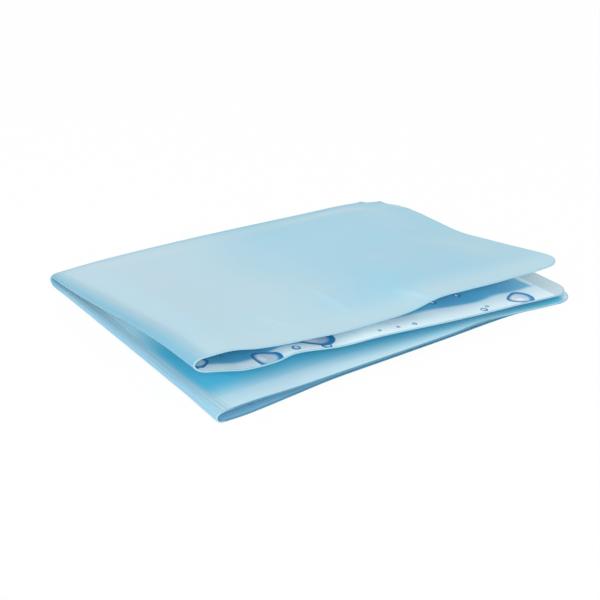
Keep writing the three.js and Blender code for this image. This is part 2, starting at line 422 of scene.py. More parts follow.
    def bend(self, start: np.ndarray, start_in: np.ndarray, end: np.ndarray, end_in: np.ndarray,
             depth: np.ndarray, t: np.ndarray) -> np.ndarray:
        """Round bend that leaves both edges in line with their sheets.

        Args:
            start: Places on the first edge.
            start_in: Places just inside the first sheet.
            end: Places on the second edge.
            end_in: Places just inside the second sheet.
            depth: How far the bend reaches past the edges.
            t: Share of the way round.

        Returns:
            Places on the bend.
        """
        handle = np.reshape(depth / self.bend_reach_share, (-1, 1))
        first = start + unit(start - start_in) * handle
        second = end + unit(end - end_in) * handle
        t = t[:, None]
        return ((1 - t) ** 3 * start + 3 * (1 - t) ** 2 * t * first
                + 3 * (1 - t) * t * t * second + t ** 3 * end)

    def sheet_point(self, outer: bool, a: np.ndarray, along: np.ndarray) -> np.ndarray:
        """Middle of the outer or inner sheet, and of its bend at the back.

        Args:
            outer: Whether it is the outer sheet.
            a: Share from the side crease to the free side edge.
            along: Places along the mat.

        Returns:
            The places.
        """
        s = self.sizes
        lower, upper = (self.bottom, self.top) if outer else (self.lower_inner, self.upper_inner)
        below, above = along <= -s.strip_half, along >= s.strip_half
        between = ~(below | above)
        made = np.empty((len(along), 3))
        made[below] = self.layer_point(
            lower, a[below], (-along[below] - s.strip_half) / (s.lower_reach - s.strip_half))
        made[above] = self.layer_point(
            upper, a[above], (along[above] - s.strip_half) / (s.upper_reach - s.strip_half))
        at, zero = a[between], np.zeros(between.sum())
        step = zero + self.slope_step / s.depth
        made[between] = self.bend(
            self.layer_point(lower, at, zero), self.layer_point(lower, at, step),
            self.layer_point(upper, at, zero), self.layer_point(upper, at, step),
            zero + (self.back_wrap if outer else self.inner_wrap),
            (along[between] + s.strip_half) / s.strip_width)
        return made

    def point(self, across: np.ndarray, along: np.ndarray) -> np.ndarray:
        """Middle of the laminate, side bend and all.

        Args:
            across: Places across the mat.
            along: Places along it.

        Returns:
            The places on the folded mat.
        """
        s = self.sizes
        a = (np.abs(across) - s.strip_half) / (s.half_width - s.strip_half)
        made = np.empty((len(across), 3))
        for outer in (True, False):
            here = (a >= 0) & ((across > 0) == outer)
            made[here] = self.sheet_point(outer, a[here], along[here])
        here = a < 0
        q, zero = along[here], np.zeros(here.sum())
        step = zero + self.slope_step / s.width
        depth = self.side_wrap + self.front_loop_extra * np.maximum(q, 0) / s.upper_reach
        depth = depth * np.where(q < 0, read_shares(self.lower_wrap_shares, -q / s.lower_reach),
                                 read_shares(self.upper_wrap_shares, q / s.upper_reach))
        made[here] = self.bend(
            self.sheet_point(True, zero, q), self.sheet_point(True, step, q),
            self.sheet_point(False, zero, q), self.sheet_point(False, step, q),
            depth, (s.strip_half - across[here]) / s.strip_width)
        return made + np.array(self.origin)

    def normal(self, across: np.ndarray, along: np.ndarray) -> np.ndarray:
        """Direction in which the printed face looks.

        Args:
            across: Places across the mat.
            along: Places along it.

        Returns:
            The directions on the folded mat, each one long.
        """
        s, step = self.sizes, self.slope_step
        left, right = np.maximum(across - step, -s.half_width), np.minimum(across + step, s.half_width)
        front, back = np.maximum(along - step, -s.lower_reach), np.minimum(along + step, s.upper_reach)
        run = self.point(right, along) - self.point(left, along)
        rise = self.point(across, back) - self.point(across, front)
        return unit(np.cross(run, rise))


def add_node(tree: bpy.types.NodeTree, kind: str, inputs: dict | None = None,
             **settings: str | bool) -> bpy.types.Node:
    """Adds a node with its settings and links.

    Args:
        tree: The node tree.
        kind: The node's type.
        inputs: Socket name or number to a value, or to the socket that feeds it.
        **settings: The node's own properties.

    Returns:
        The node.
    """
    node = tree.nodes.new(kind)
    for name, value in settings.items():
        setattr(node, name, value)
    for name, value in (inputs or {}).items():
        if isinstance(value, Socket):
            tree.links.new(value, node.inputs[name])
        else:
            node.inputs[name].default_value = value
    return node


def new_material(name: str, even: Values) -> tuple[bpy.types.Material, bpy.types.NodeTree, bpy.types.Node]:
    """Makes a material that holds a Principled shader alone.

    Args:
        name: The material's name.
        even: The shader's sockets that hold one value all over, with their values.

    Returns:
        The material, its node tree and its shader node.
    """
    material = bpy.data.materials.new(name)
    material.use_nodes = True
    shader = material.node_tree.nodes["Principled BSDF"]
    for socket, value in even:
        shader.inputs[socket].default_value = value
    return material, material.node_tree, shader


@dataclass(frozen=True)
class FilmFinish:
    """Plain outer film: soft PVC film, calendered with a satin face.

    The matt embossing gives broad hazy reflections and a pale bloom at low angles. The gel
    behind it gives a cool tint, mottled at random. Over it lie painted sheen, paler and greyer
    towards the side crease, and painted light and shade: deep teal shade on the inner sheet, which
    lies in the gaps of the fold, with painted light at its front lip and back half; painted shade
    at the creases and painted light in the lower crease's valley; painted shade on the cut rims
    and a painted shadow along the lower pair's front rims. A pair of places is where one tint ends
    and where the next is full, in metres on the flat mat.
    """

    name: str = "satin_pvc_film"
    # The first tint is painted sheen towards the side crease, paler and greyer, and is also mottled in at
    # random; the second is the film's own tint.
    mottle_and_sheen_tint: str = "#ABCFDE"
    sheen_free_tint: str = "#92C8DC"
    # Painted shade: deep teal on the inner sheet, which lies in the gaps of the fold, stands for the shade
    # deep inside them.
    gap_shade_teal: str = "#52C6E3"
    # Painted shade at the creases: darker on the upper pair and a little darker on the lower pair; the
    # valley colour is painted light on the lower crease's inner side, where it lies in shade.
    painted_crease_shade: str = "#6BADC7"
    lower_crease_shade: str = "#8ABFD6"
    valley_painted_light: str = "#C4E9F4"
    weld_colour: str = "#AED2DF"
    # Painted light: the lip colour lightens the inner sheet's front lip, and the back colour its back half,
    # where the sheet lies in shade.
    painted_lip_light: str = "#C2E2EE"
    back_painted_light: str = "#CDF1FA"
    # Painted shade: the rim colour darkens the films' cut rims.
    painted_rim_shade: str = "#96C3D5"
    # Painted shadow: dark teal along the lower pair's front rim, where the slit between its quarters lies in
    # shade, fading out towards both ends across the mat.
    painted_slit_shadow: str = "#4F8CA6"
    slit_shadow_start: tuple[float, float] = (0.004, 0.012)
    slit_shadow_end: tuple[float, float] = (0.165, 0.13)
    even: Values = (
        ("IOR", 1.5), ("Specular IOR Level", 0.35), ("Coat Weight", 0.25), ("Coat IOR", 1.5),
        ("Coat Roughness", 0.4), ("Sheen Weight", 0.15), ("Sheen Roughness", 0.5))
    roughness: tuple[float, float] = (0.38, 0.5)
    dulling: tuple[float, float] = (0.3, 0.7)
    tint_size: float = 0.07
    ripple_size: float = 0.012
    ripple_height: float = 0.00012
    grain_size: float = 0.0009
    grain_height: float = 0.00001
    crease_line_width: float = 0.0010
    crease_line_length: float = 0.06
    crease_line_height: float = 0.0005
    crease_line_reach: tuple[float, float] = (0.012, 0.004)
    sheet_end: float = 0.2
    # Where the inner sheet's painted shade and light begin, and the span, narrowing, widest place and tip of
    # its painted light lip.
    gap_shade_start: tuple[float, float] = (-0.0055, -0.0095)
    painted_lip_span: tuple[float, float] = (0.006, 0.022)
    painted_lip_narrowing: float = 0.135
    painted_lip_widest: float = 0.05
    painted_lip_tip: tuple[float, float] = (0.198, 0.190)
    edge: tuple[float, float] = (0.0007, 0.0003)
    # Where the inner sheet goes from painted light near the back fold to painted teal shade further front.
    gap_shade_deepening: tuple[float, float] = (0.062, 0.096)
    lower_pair_start: tuple[float, float] = (0.0, -0.02)
    # Where the painted light in the lower crease's valley begins.
    valley_light_start: tuple[float, float] = (-0.0030, -0.0062)
    crease_band: tuple[float, float] = (0.0085, 0.0)
    # Where the painted sheen fades out across the mat.
    sheen_fade_span: tuple[float, float] = (0.05, 0.12)
    mottling: float = 0.5
    long_edge_weld: tuple[float, float] = (0.118, 0.136)
    long_edge_share: float = 0.8
    weld_line: float = 0.010
    weld_line_width: float = 0.0012
    weld_line_height: float = 0.0001

    def build(self) -> bpy.types.Material:
        """Makes the material.

        Returns:
            The material.
        """
        material, tree, shader = new_material(self.name, self.even)
        flat = add_node(tree, "ShaderNodeUVMap", uv_map=FLAT_UV).outputs["UV"]
        border = add_node(tree, "ShaderNodeAttribute", attribute_name=BORDER).outputs["Fac"]
        cloud = add_node(tree, "ShaderNodeTexNoise", {
            "Vector": flat, "Scale": 1 / self.tint_size, "Detail": 2.0}).outputs["Fac"]
        tree.links.new(self.add_tints(tree, flat, border, cloud), shader.inputs["Base Color"])
        dull = add_node(tree, "ShaderNodeMapRange", {
            "Value": cloud, "From Min": self.dulling[0], "From Max": self.dulling[1],
            "To Min": self.roughness[0], "To Max": self.roughness[1]})
        tree.links.new(dull.outputs["Result"], shader.inputs["Roughness"])
        tree.links.new(self.add_relief(tree, flat, border), shader.inputs["Normal"])
        return material

    def add_tints(self, tree: bpy.types.NodeTree, flat: Socket, border: Socket, cloud: Socket) -> Socket:
        """Adds the film's tints, one over the other: its own mottled tint and weld, with painted sheen,
        painted light and painted shade over them.

        Args:
            tree: The material's node tree.
            flat: Places on the flat mat.
            border: Distance from the mat's free edge.
            cloud: The soft noise that mottles the tint over the gel.

        Returns:
            The colour.
        """
        place = add_node(tree, "ShaderNodeSeparateXYZ", {"Vector": flat}).outputs
        across, along = (
            add_node(tree, "ShaderNodeMath", {0: place[axis]}, operation="ABSOLUTE").outputs[0]
            for axis in ("X", "Y"))
        crease = add_node(tree, "ShaderNodeMath", {0: across, 1: along}, operation="MINIMUM").outputs[0]
        step = {}
        for name, value, span, most in (
                ("sheen_free_tint", place["X"], self.sheen_fade_span, 1.0),
                ("painted_lip_tip", across, self.painted_lip_tip, 1.0),
                ("gap_shade_film", along, self.gap_shade_deepening, 1.0),
                ("valley_light_share", place["X"], self.valley_light_start, 1.0),
                ("lower_pair", place["Y"], self.lower_pair_start, 1.0),
                ("slit_shadow_fade_in", across, self.slit_shadow_start, 1.0),
                ("slit_shadow_fade_out", across, self.slit_shadow_end, 1.0),
                ("long_edge", along, self.long_edge_weld, self.long_edge_share),
                ("crease", crease, self.crease_band, 1.0),
                ("gap_shade_teal", place["X"], self.gap_shade_start, 1.0),
                ("edge", border, self.edge, 1.0)):
            step[name] = add_node(tree, "ShaderNodeMapRange", {
                "Value": value, "From Min": span[0], "From Max": span[1], "To Max": most},
                interpolation_type="SMOOTHSTEP").outputs["Result"]
        mottled = add_node(tree, "ShaderNodeMath", {
            0: cloud, 1: self.mottling, 2: -self.mottling / 2}, operation="MULTIPLY_ADD").outputs[0]
        # Painted sheen near the side crease, fading out across the mat, with the random mottle added.
        sheen_free_share = add_node(tree, "ShaderNodeMath", {
            0: mottled, 1: step["sheen_free_tint"]}, operation="ADD", use_clamp=True).outputs[0]
        # Painted light on the inner sheet's front lip, narrower towards the free side edge but for its tip.
        narrowing = add_node(tree, "ShaderNodeMapRange", {
            "Value": across, "From Min": self.painted_lip_widest, "From Max": self.sheet_end,
            "To Max": self.painted_lip_narrowing * (self.sheet_end - self.painted_lip_widest)}).outputs["Result"]
        inside = add_node(tree, "ShaderNodeMath", {
            0: narrowing, 1: step["painted_lip_tip"], 2: border}, operation="MULTIPLY_ADD").outputs[0]
        painted_lip = add_node(tree, "ShaderNodeMapRange", {
            "Value": inside, "From Min": self.painted_lip_span[0], "From Max": self.painted_lip_span[1]},
            interpolation_type="SMOOTHSTEP").outputs["Result"]
        # Painted shadow along the lower pair's front rim, fading out at both ends.
        slit_shadow = add_node(tree, "ShaderNodeMath", {
            0: place["Y"], 1: 0.0}, operation="LESS_THAN").outputs[0]
        for name in ("slit_shadow_fade_in", "slit_shadow_fade_out"):
            slit_shadow = add_node(tree, "ShaderNodeMath", {
                0: slit_shadow, 1: step[name]}, operation="MULTIPLY").outputs[0]
        paint = {}
        # Tints laid one over the other: painted shade and light on the inner sheet, painted shade and light
        # at the creases, painted shadow on the lower rims, the mottled tint with painted sheen, the weld,
        # and painted shade on all rims.
        for name, share, under, over in (
                ("gap_shade_film", step["gap_shade_film"], self.back_painted_light, self.gap_shade_teal),
                ("gap_light_and_shade_film", painted_lip, self.painted_lip_light, "gap_shade_film"),
                ("lower_crease_light_and_shade", step["valley_light_share"], self.lower_crease_shade, self.valley_painted_light),
                ("crease_shade_film", step["lower_pair"], self.painted_crease_shade, "lower_crease_light_and_shade"),
                ("rim", slit_shadow, self.painted_rim_shade, self.painted_slit_shadow),
                ("sheened_film", sheen_free_share, self.mottle_and_sheen_tint, self.sheen_free_tint),
                ("welded", step["long_edge"], "sheened_film", self.weld_colour),
                ("crease_painted", step["crease"], "welded", "crease_shade_film"),
                ("gap_painted", step["gap_shade_teal"], "crease_painted", "gap_light_and_shade_film"),
                ("rim_shaded", step["edge"], "gap_painted", "rim")):
            first, second = (paint[tint] if tint in paint else linear(tint) for tint in (under, over))
            paint[name] = add_node(tree, "ShaderNodeMix", {
                "Factor": share, "A": first, "B": second}, data_type="RGBA").outputs["Result"]
        return paint["rim_shaded"]

    def add_relief(self, tree: bpy.types.NodeTree, flat: Socket, border: Socket) -> Socket:
        """Adds the film's faint ripples, its embossed grain, the fine lines that run along its creases
        and the line where the weld begins.

        Args:
            tree: The material's node tree.
            flat: Places on the flat mat.
            border: Distance from the mat's free edge.

        Returns:
            The bumped normal.
        """
        heights = []
        # The real grain is 0.2 mm, too fine to show, so it is drawn at 0.9 mm.
        for size, detail, height in (
                (self.ripple_size, 2.0, self.ripple_height), (self.grain_size, 1.0, self.grain_height)):
            noise = add_node(tree, "ShaderNodeTexNoise", {
                "Vector": flat, "Scale": 1 / size, "Detail": detail})
            heights.append((noise.outputs["Fac"], height))
        width, length = 1 / self.crease_line_width, 1 / self.crease_line_length
        place = add_node(tree, "ShaderNodeSeparateXYZ", {"Vector": flat}).outputs
        for axis, stretch in (("X", (width, length, 0)), ("Y", (length, width, 0))):
            away = add_node(tree, "ShaderNodeMath", {0: place[axis]}, operation="ABSOLUTE")
            near = add_node(tree, "ShaderNodeMapRange", {
                "Value": away.outputs[0], "From Min": self.crease_line_reach[0],
                "From Max": self.crease_line_reach[1]}, interpolation_type="SMOOTHSTEP")
            drawn = add_node(tree, "ShaderNodeVectorMath", {0: flat, 1: stretch}, operation="MULTIPLY")
            lines = add_node(tree, "ShaderNodeTexNoise", {
                "Vector": drawn.outputs[0], "Scale": 1.0, "Detail": 2.0})
            height = add_node(tree, "ShaderNodeMath", {
                0: lines.outputs["Fac"], 1: near.outputs["Result"]}, operation="MULTIPLY")
            heights.append((height.outputs[0], self.crease_line_height))
        weld = add_node(tree, "ShaderNodeMapRange", {
            "Value": border, "From Min": self.weld_line - self.weld_line_width,
            "From Max": self.weld_line + self.weld_line_width}, interpolation_type="SMOOTHSTEP")
        heights.append((weld.outputs["Result"], self.weld_line_height))
        inputs = {}
        for height, distance in heights:
            bump = add_node(tree, "ShaderNodeBump", {
                "Height": height, "Distance": distance, "Strength": 1.0, **inputs})
            inputs = {"Normal": bump.outputs["Normal"]}
        return inputs["Normal"]


@dataclass(frozen=True)
class DropPrint:
    """One size of the generic water drops in the print, in metres.

    The cell is the spacing of the net that the drops lie in, the share is how many cells hold one,
    and the taper goes from 0 on a round drop to 1 on one with a tip.
    """

    cell: float
    radius: float
    taper: float
    share: float
    line: float
    shift: tuple[float, float, float] = (0.0, 0.0, 0.0)


@dataclass(frozen=True)
class PrintFinish:
    """Printed inner film: clear gloss film over a gravure print of water drops.

    The ground is pale near the free edges and deepens to water blue further in; the deepening is
    print and painted shade at once, and is deeper near the side creases and on the lower pair.
    The two short ends carry no ink, so the film's own grey green shows there. The cut rims carry
    painted shade, and the lower pair's rims a painted shadow. The places and edges inside a drop
    are in shares of its radius, but the line's softness and the inside's edge are in widths of its
    line. Shrinking is how many times smaller the smallest and the largest drop of a size are drawn.
    """

    name: str = "printed_pvc_film"
    bare: str = "#C8DCE4"
    pale: str = "#E4F8FE"
    deep: str = "#43AED4"
    cloud: str = "#80CAEA"
    line: str = "#1B86BE"
    shade: str = "#9CCAE6"
    inside: str = "#E9F3FA"
    glint: str = "#FBFCFF"
    even: Values = (("Roughness", 0.4), ("IOR", 1.5), ("Specular IOR Level", 0.25))
    cloud_size: float = 0.028
    ripple_size: float = 0.011
    ripple_height: float = 0.0002
    ink_end: tuple[float, float] = (0.1885, 0.1895)
    # Where the ground deepens, which is print and painted shade under the layer above at once.
    ground_and_shade_deepening: tuple[float, float] = (0.017, 0.020)
    patch_size: float = 0.035
    patch_reach: float = 0.012
    # The lower pair's ground is deeper all over, which also paints shade in the slit between its quarters;
    # it is a little paler near the free edge.
    lower_pair_shade_depth: float = 0.03
    lower_pair_thinning: float = 0.25
    lower_pair_edge: tuple[float, float] = (0.005, 0.016)
    # Painted shade: the ground deepens near the side creases, where the gaps lie in shade.
    crease_side_shade_start: float = 0.10
    crease_side_shade_depth: float = 0.006
    edge: tuple[float, float] = (0.0007, 0.0003)
    # Painted shade on the printed film's cut rims.
    painted_rim_shade: str = "#9FC4D4"
    # Painted shadow on the lower pair's cut rims, where the slit between them lies in shade.
    painted_slit_shadow: str = "#4F8CA6"
    looseness: float = 0.35
    shrinking: tuple[float, float] = (1.6, 1.0)
    tip_narrowing: float = 0.55
    tip_length: float = 0.38
    inside_middle: tuple[float, float, float] = (0.0, 0.07, 0.0)
    glint_middle: tuple[float, float, float] = (-0.28, 0.3, 0.0)
    glint_edge: tuple[float, float] = (0.3, 0.16)
    shading: tuple[float, float] = (-0.9, 0.6)
    line_softness: float = 0.35
    inside_edge: tuple[float, float] = (0.9, 2.4)
    drops: tuple[DropPrint, ...] = (
        DropPrint(cell=0.010, radius=0.0013, taper=0.0, share=0.35, line=0.0005, shift=(0.002, 0.003, 0.0)),
        DropPrint(cell=0.016, radius=0.0027, taper=0.0, share=0.5, line=0.0008, shift=(0.004, 0.007, 0.0)),
        DropPrint(cell=0.034, radius=0.0088, taper=0.7, share=0.9, line=0.0018, shift=(0.074, 0.007, 0.0)),
    )

    def add_drops(self, tree: bpy.types.NodeTree, flat: Socket, drop: DropPrint, colour: Socket) -> Socket:
        """Prints one size of drops over a colour.

        Each cell of a loose net holds at most one drop: a round body that may taper to a tip, with a
        blue line that is thicker under it, a pale inside and a small white glint.

        Args:
            tree: The material's node tree.
            flat: Places on the flat mat.
            drop: The size of drops.
            colour: The colour under them.

        Returns:
            The colour with the drops on it.
        """
        moved = add_node(tree, "ShaderNodeVectorMath", {0: flat, 1: drop.shift}, operation="ADD").outputs[0]
        cells = add_node(tree, "ShaderNodeTexVoronoi", {
            "Vector": moved, "Scale": 1 / drop.cell, "Randomness": self.looseness}, voronoi_dimensions="2D")
        dice = add_node(tree, "ShaderNodeSeparateColor", {"Color": cells.outputs["Color"]}).outputs
        local = add_node(tree, "ShaderNodeVectorMath", {
            0: moved, 1: cells.outputs["Position"]}, operation="SUBTRACT").outputs[0]
        turn = add_node(tree, "ShaderNodeMath", {
            0: dice["Blue"], 1: 2 * math.pi}, operation="MULTIPLY").outputs[0]
        turned = add_node(tree, "ShaderNodeVectorRotate", {"Vector": local, "Angle": turn}).outputs["Vector"]
        growth = add_node(tree, "ShaderNodeMapRange", {
            "Value": dice["Red"], "To Min": self.shrinking[0] / drop.radius,
            "To Max": self.shrinking[1] / drop.radius}).outputs["Result"]
        scaled = add_node(tree, "ShaderNodeVectorMath", {
            0: turned, "Scale": growth}, operation="SCALE").outputs[0]
        place = add_node(tree, "ShaderNodeSeparateXYZ", {"Vector": scaled}).outputs
        ahead = add_node(tree, "ShaderNodeMath", {0: place["Y"], 1: 0.0}, operation="MAXIMUM").outputs[0]
        narrow = add_node(tree, "ShaderNodeMath", {
            0: ahead, 1: self.tip_narrowing * drop.taper, 2: 1.0}, operation="MULTIPLY_ADD").outputs[0]
        x = add_node(tree, "ShaderNodeMath", {0: place["X"], 1: narrow}, operation="MULTIPLY").outputs[0]
        y = add_node(tree, "ShaderNodeMath", {
            0: ahead, 1: -self.tip_length * drop.taper, 2: place["Y"]}, operation="MULTIPLY_ADD").outputs[0]
        body = add_node(tree, "ShaderNodeCombineXYZ", {"X": x, "Y": y}).outputs[0]
        shown = add_node(tree, "ShaderNodeMath", {
            0: dice["Green"], 1: drop.share}, operation="LESS_THAN").outputs[0]
        glow = add_node(tree, "ShaderNodeMapRange", {
            "Value": y, "From Min": self.shading[0], "From Max": self.shading[1]}).outputs["Result"]
        filling = add_node(tree, "ShaderNodeMix", {
            "Factor": glow, "A": linear(self.shade), "B": linear(self.inside)}, data_type="RGBA")
        line = drop.line / drop.radius
        for middle, outer, inner, paint in (
                ((0.0, 0.0, 0.0), 1.0, 1 - self.line_softness * line, linear(self.line)),
                (self.inside_middle, 1 - self.inside_edge[0] * line, 1 - self.inside_edge[1] * line,
                 filling.outputs["Result"]),
                (self.glint_middle, *self.glint_edge, linear(self.glint))):
            away = add_node(tree, "ShaderNodeVectorMath", {
                0: body, 1: middle}, operation="DISTANCE").outputs["Value"]
            edge = add_node(tree, "ShaderNodeMapRange", {
                "Value": away, "From Min": outer, "From Max": inner},
                interpolation_type="SMOOTHSTEP").outputs["Result"]
            cover = add_node(tree, "ShaderNodeMath", {0: edge, 1: shown}, operation="MULTIPLY").outputs[0]
            colour = add_node(tree, "ShaderNodeMix", {
                "Factor": cover, "A": colour, "B": paint}, data_type="RGBA").outputs["Result"]
        return colour

    def add_ground(self, tree: bpy.types.NodeTree, flat: Socket, border: Socket, away: Socket,
                   below: Socket) -> Socket:
        """Prints the ground, pale near the free edges and water blue further in; the deepening is painted
        shade as well as print, and is deeper near the side creases and on the lower pair.

        Args:
            tree: The material's node tree.
            flat: Places on the flat mat.
            border: Distance from the mat's free edge.
            away: Distance from the side creases.
            below: 1 on the lower pair of quarters, 0 on the upper pair.

        Returns:
            The ground's colour.
        """
        cloud, patches = (
            add_node(tree, "ShaderNodeTexNoise", {
                "Vector": flat, "Scale": 1 / size, "Detail": detail}).outputs["Fac"]
            for size, detail in ((self.cloud_size, 2.0), (self.patch_size, 1.0)))
        water = add_node(tree, "ShaderNodeMix", {
            "Factor": cloud, "A": linear(self.deep), "B": linear(self.cloud)}, data_type="RGBA")
        # Painted shade near the side creases.
        crease_side_shade = add_node(tree, "ShaderNodeMapRange", {
            "Value": away, "From Min": self.crease_side_shade_start, "From Max": 0.0,
            "To Max": self.crease_side_shade_depth}).outputs["Result"]
        uneven = border
        for value, weight in ((patches, self.patch_reach), (below, self.lower_pair_shade_depth), (crease_side_shade, 1.0)):
            uneven = add_node(tree, "ShaderNodeMath", {
                0: value, 1: weight, 2: uneven}, operation="MULTIPLY_ADD").outputs[0]
        # Print that also paints shade: the ground deepens inward from the free edges.
        depth = add_node(tree, "ShaderNodeMapRange", {
            "Value": uneven, "From Min": self.ground_and_shade_deepening[0], "From Max": self.ground_and_shade_deepening[1]},
            interpolation_type="SMOOTHSTEP").outputs["Result"]
        thinning = add_node(tree, "ShaderNodeMapRange", {
            "Value": border, "From Min": self.lower_pair_edge[0], "From Max": self.lower_pair_edge[1],
            "To Min": -self.lower_pair_thinning, "To Max": 0.0},
            interpolation_type="SMOOTHSTEP").outputs["Result"]
        thinned = add_node(tree, "ShaderNodeMath", {
            0: below, 1: thinning, 2: depth}, operation="MULTIPLY_ADD", use_clamp=True).outputs[0]
        return add_node(tree, "ShaderNodeMix", {
            "Factor": thinned, "A": linear(self.pale), "B": water.outputs["Result"]},
            data_type="RGBA").outputs["Result"]

    def build(self) -> bpy.types.Material:
        """Makes the material.

        Returns:
            The material.
        """
        material, tree, shader = new_material(self.name, self.even)
        flat = add_node(tree, "ShaderNodeUVMap", uv_map=FLAT_UV).outputs["UV"]
        border = add_node(tree, "ShaderNodeAttribute", attribute_name=BORDER).outputs["Fac"]
        place = add_node(tree, "ShaderNodeSeparateXYZ", {"Vector": flat}).outputs
        away = add_node(tree, "ShaderNodeMath", {0: place["X"]}, operation="ABSOLUTE").outputs[0]
        below = add_node(tree, "ShaderNodeMath", {0: place["Y"], 1: 0.0}, operation="LESS_THAN").outputs[0]
        colour = self.add_ground(tree, flat, border, away, below)
        for drop in self.drops:
            colour = self.add_drops(tree, flat, drop, colour)
        # Painted shade on the cut rims, and a painted shadow on the lower pair's rims.
        rim = add_node(tree, "ShaderNodeMix", {
            "Factor": below, "A": linear(self.painted_rim_shade), "B": linear(self.painted_slit_shadow)},
            data_type="RGBA").outputs["Result"]
        for value, span, paint in (
                (away, self.ink_end, linear(self.bare)), (border, self.edge, rim)):
            cover = add_node(tree, "ShaderNodeMapRange", {
                "Value": value, "From Min": span[0], "From Max": span[1]}).outputs["Result"]
            colour = add_node(tree, "ShaderNodeMix", {
                "Factor": cover, "A": colour, "B": paint}, data_type="RGBA").outputs["Result"]
        tree.links.new(colour, shader.inputs["Base Color"])
        ripple = add_node(tree, "ShaderNodeTexNoise", {
            "Vector": flat, "Scale": 1 / self.ripple_size, "Detail": 2.0})
        bump = add_node(tree, "ShaderNodeBump", {
            "Height": ripple.outputs["Fac"], "Distance": self.ripple_height, "Strength": 1.0})
        tree.links.new(bump.outputs["Normal"], shader.inputs["Normal"])
        return material


@dataclass(frozen=True)
class GelFinish:
    """Gel pad: soft clear hydrogel, cast between the films, with fine pale bubbles in it."""

    name: str = "cast_hydrogel"
    colour: str = "#8FC7E4"
    even: Values = (("Roughness", 0.12), ("IOR", 1.35))
    bubble_spacing: float = 0.004
    bubble_edge: tuple[float, float] = (0.08, 0.16)
    bubble_paleness: float = 0.5

    def build(self) -> bpy.types.Material:
        """Makes the material.

        Returns:
            The material.
        """
        material, tree, shader = new_material(self.name, self.even)
        flat = add_node(tree, "ShaderNodeUVMap", uv_map=FLAT_UV).outputs["UV"]
        bubbles = add_node(tree, "ShaderNodeTexVoronoi", {"Vector": flat, "Scale": 1 / self.bubble_spacing})
        tone = add_node(tree, "ShaderNodeMapRange", {
            "Value": bubbles.outputs["Distance"], "From Min": self.bubble_edge[0],
            "From Max": self.bubble_edge[1], "To Min": self.bubble_paleness, "To Max": 0.0})
        colour = add_node(tree, "ShaderNodeMix", {
            "Factor": tone.outputs["Result"], "A": linear(self.colour), "B": linear(WHITE)},
            data_type="RGBA")
        tree.links.new(colour.outputs["Result"], shader.inputs["Base Color"])
        return material


